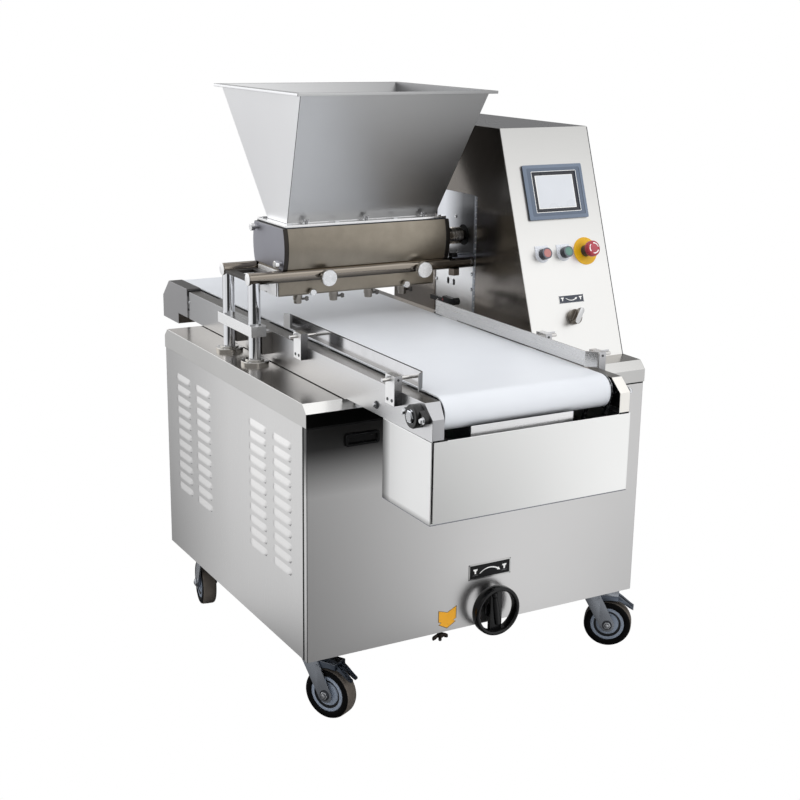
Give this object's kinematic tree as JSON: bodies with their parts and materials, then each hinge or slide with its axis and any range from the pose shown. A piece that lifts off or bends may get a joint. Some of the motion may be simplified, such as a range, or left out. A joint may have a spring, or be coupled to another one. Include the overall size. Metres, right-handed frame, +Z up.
{
  "type": "cookie depositor",
  "caption": "Floor-standing cookie depositor on casters: hopper and feed head with nozzles over a lifting belt conveyor, beside a sloped control tower.",
  "frame": {"origin": "on the floor under the middle of the conveyor's length and the cabinet's width", "axes": "+X to the right seen from the front, +Y to the rear along the belt, +Z up"},
  "size_m": [0.9839, 1.51, 1.4375],
  "materials": {
    "panel_steel": "satin",
    "deck_steel": "polished",
    "hopper_steel": "satin",
    "tower_steel": "polished",
    "panel_light": "satin",
    "bright_steel": "polished",
    "bar_steel": "turned",
    "head_steel": "satin",
    "end_plate_steel": "satin",
    "frame_paint": "satin",
    "conveyor_steel": "satin",
    "belt_white": "satin",
    "cast_dark": "matt",
    "block_alloy": "milled",
    "roller_alloy": "turned",
    "feed_steel": "turned",
    "motor_alloy": "painted",
    "zinc_steel": "zinc plated",
    "wheel_black": "matt",
    "black_plastic": "matt",
    "grey_plastic": "matt",
    "gloss_black": "gloss",
    "screen_slate": "satin",
    "base_plastic": "satin",
    "button_red": "gloss",
    "button_green": "gloss",
    "seal_dark": "matt"
  },
  "bodies": {
    "machine": {"base_frame": "frame_paint", "caster_top_plates": "zinc_steel", "deck": "deck_steel", "side_panels": "panel_steel", "front_panel": "panel_steel", "rear_panel": "panel_steel", "panel_pulls": "black_plastic", "earth_stud": "zinc_steel", "guide_columns": "bright_steel", "deck_flanges": "bright_steel", "head_bars": "bar_steel", "bar_tie_plate": "bar_steel", "head_housing": "head_steel", "head_end_plates": "end_plate_steel", "nozzle_block": "head_steel", "nozzles": "bright_steel", "hand_screws": "bright_steel", "hopper_seal": "seal_dark", "hopper": "hopper_steel", "hopper_wing_nuts": "bright_steel", "tower_casing": "tower_steel", "tower_front_panel": "panel_light", "drive_plate": "bright_steel", "touch_screen": "screen_slate", "button_bases": "base_plastic", "lift_gearbox": "cast_dark", "feed_gearmotor": "motor_alloy"},
    "conveyor": {"conveyor_frames": "conveyor_steel", "belt_bed": "conveyor_steel", "conveyor_belt": "belt_white", "bearing_units": "cast_dark", "take_up_caps": "conveyor_steel", "rail_clamps": "block_alloy", "drive_box": "panel_steel", "bush_block": "block_alloy", "belt_gearmotor": "motor_alloy", "drive_chain": "zinc_steel", "lift_yoke": "zinc_steel", "tray_sensor": "black_plastic"},
    "front_roller": {"front_roller": "roller_alloy"},
    "rear_roller": {"rear_roller": "roller_alloy"},
    "left_guide_rail": {"left_guide_rail": "conveyor_steel"},
    "right_guide_rail": {"right_guide_rail": "conveyor_steel"},
    "feed_roller_front": {"feed_roller_front": "feed_steel"},
    "feed_roller_rear": {"feed_roller_rear": "feed_steel"},
    "start_button": {"start_button": "button_green"},
    "stop_button": {"stop_button": "button_red"},
    "estop_button": {"estop_button": "button_red"},
    "adjust_knob": {"adjust_knob": "bright_steel"},
    "handwheel": {"handwheel": "gloss_black"},
    "front_left_swivel": {"front_left_fork": "zinc_steel"},
    "front_left_wheel": {"front_left_wheel": "wheel_black"},
    "front_left_pedal": {"front_left_pedal": "black_plastic"},
    "front_right_swivel": {"front_right_fork": "zinc_steel"},
    "front_right_wheel": {"front_right_wheel": "wheel_black"},
    "front_right_pedal": {"front_right_pedal": "black_plastic"},
    "rear_left_swivel": {"rear_left_fork": "zinc_steel"},
    "rear_left_wheel": {"rear_left_wheel": "wheel_black"},
    "rear_right_swivel": {"rear_right_fork": "zinc_steel"},
    "rear_right_wheel": {"rear_right_wheel": "wheel_black"}
  },
  "joints": [
    {"name": "conveyor_lift", "type": "slide", "parent": "machine", "child": "conveyor", "axis": [0, 0, 1], "range_m": [0, 0.03]},
    {"name": "handwheel_turn", "type": "hinge", "parent": "machine", "child": "handwheel", "pos_m": [0.027, -0.416, 0.223], "axis": [0, 1, 0], "range_deg": [-1, 1081]},
    {"name": "front_roller_spin", "type": "hinge", "parent": "conveyor", "child": "front_roller", "pos_m": [0, -0.702, 0.837], "axis": [1, 0, 0], "continuous": true},
    {"name": "rear_roller_spin", "type": "hinge", "parent": "conveyor", "child": "rear_roller", "pos_m": [0, 0.702, 0.837], "axis": [1, 0, 0], "continuous": true},
    {"name": "feed_front_spin", "type": "hinge", "parent": "machine", "child": "feed_roller_front", "pos_m": [0, 0.056, 1.06], "axis": [1, 0, 0], "continuous": true},
    {"name": "feed_rear_spin", "type": "hinge", "parent": "machine", "child": "feed_roller_rear", "pos_m": [0, 0.13, 1.06], "axis": [1, 0, 0], "continuous": true},
    {"name": "left_rail_slide", "type": "slide", "parent": "conveyor", "child": "left_guide_rail", "axis": [1, 0, 0], "range_m": [-0.03, 0.018]},
    {"name": "right_rail_slide", "type": "slide", "parent": "conveyor", "child": "right_guide_rail", "axis": [1, 0, 0], "range_m": [-0.024, 0.012]},
    {"name": "start_press", "type": "slide", "parent": "machine", "child": "start_button", "axis": [0, 0.9418, -0.3362], "range_m": [0, 0.004], "stiffness_N_per_m": 900},
    {"name": "stop_press", "type": "slide", "parent": "machine", "child": "stop_button", "axis": [0, 0.9418, -0.3362], "range_m": [0, 0.004], "stiffness_N_per_m": 900},
    {"name": "estop_press", "type": "slide", "parent": "machine", "child": "estop_button", "axis": [0, 0.9418, -0.3362], "range_m": [0, 0.006], "stiffness_N_per_m": 2000},
    {"name": "adjust_turn", "type": "hinge", "parent": "machine", "child": "adjust_knob", "pos_m": [0.331, -0.26502, 0.8901], "axis": [0, -0.9418, 0.3362], "range_deg": [-135, 135]},
    {"name": "front_left_swivel", "type": "hinge", "parent": "machine", "child": "front_left_swivel", "pos_m": [-0.398, -0.282, 0.16], "axis": [0, 0, 1], "continuous": true},
    {"name": "front_left_wheel_spin", "type": "hinge", "parent": "front_left_swivel", "child": "front_left_wheel", "pos_m": [-0.37414, -0.32594, 0.0625], "axis": [0.8788, 0.4772, 0], "continuous": true},
    {"name": "front_left_pedal_press", "type": "hinge", "parent": "front_left_swivel", "child": "front_left_pedal", "pos_m": [-0.38559, -0.30485, 0.1335], "axis": [0.8788, 0.4772, 0], "range_deg": [0, 7]},
    {"name": "front_right_swivel", "type": "hinge", "parent": "machine", "child": "front_right_swivel", "pos_m": [0.4165, -0.282, 0.16], "axis": [0, 0, 1], "continuous": true},
    {"name": "front_right_wheel_spin", "type": "hinge", "parent": "front_right_swivel", "child": "front_right_wheel", "pos_m": [0.45423, -0.3148, 0.0625], "axis": [0.6561, 0.7547, 0], "continuous": true},
    {"name": "front_right_pedal_press", "type": "hinge", "parent": "front_right_swivel", "child": "front_right_pedal", "pos_m": [0.43612, -0.29906, 0.1335], "axis": [0.6561, 0.7547, 0], "range_deg": [0, 7]},
    {"name": "rear_left_swivel", "type": "hinge", "parent": "machine", "child": "rear_left_swivel", "pos_m": [-0.398, 0.382, 0.16], "axis": [0, 0, 1], "continuous": true},
    {"name": "rear_left_wheel_spin", "type": "hinge", "parent": "rear_left_swivel", "child": "rear_left_wheel", "pos_m": [-0.38889, 0.43116, 0.0625], "axis": [-0.9833, 0.1822, 0], "continuous": true},
    {"name": "rear_right_swivel", "type": "hinge", "parent": "machine", "child": "rear_right_swivel", "pos_m": [0.4165, 0.382, 0.16], "axis": [0, 0, 1], "continuous": true},
    {"name": "rear_right_wheel_spin", "type": "hinge", "parent": "rear_right_swivel", "child": "rear_right_wheel", "pos_m": [0.4415, 0.4253, 0.0625], "axis": [-0.866, 0.5, 0], "continuous": true}
  ],
  "couplings": [
    {"joint": "handwheel_turn", "follows": "conveyor_lift", "rad_per_m": 628.32},
    {"joint": "rear_roller_spin", "follows": "front_roller_spin", "ratio": 1},
    {"joint": "feed_rear_spin", "follows": "feed_front_spin", "ratio": -1}
  ]
}
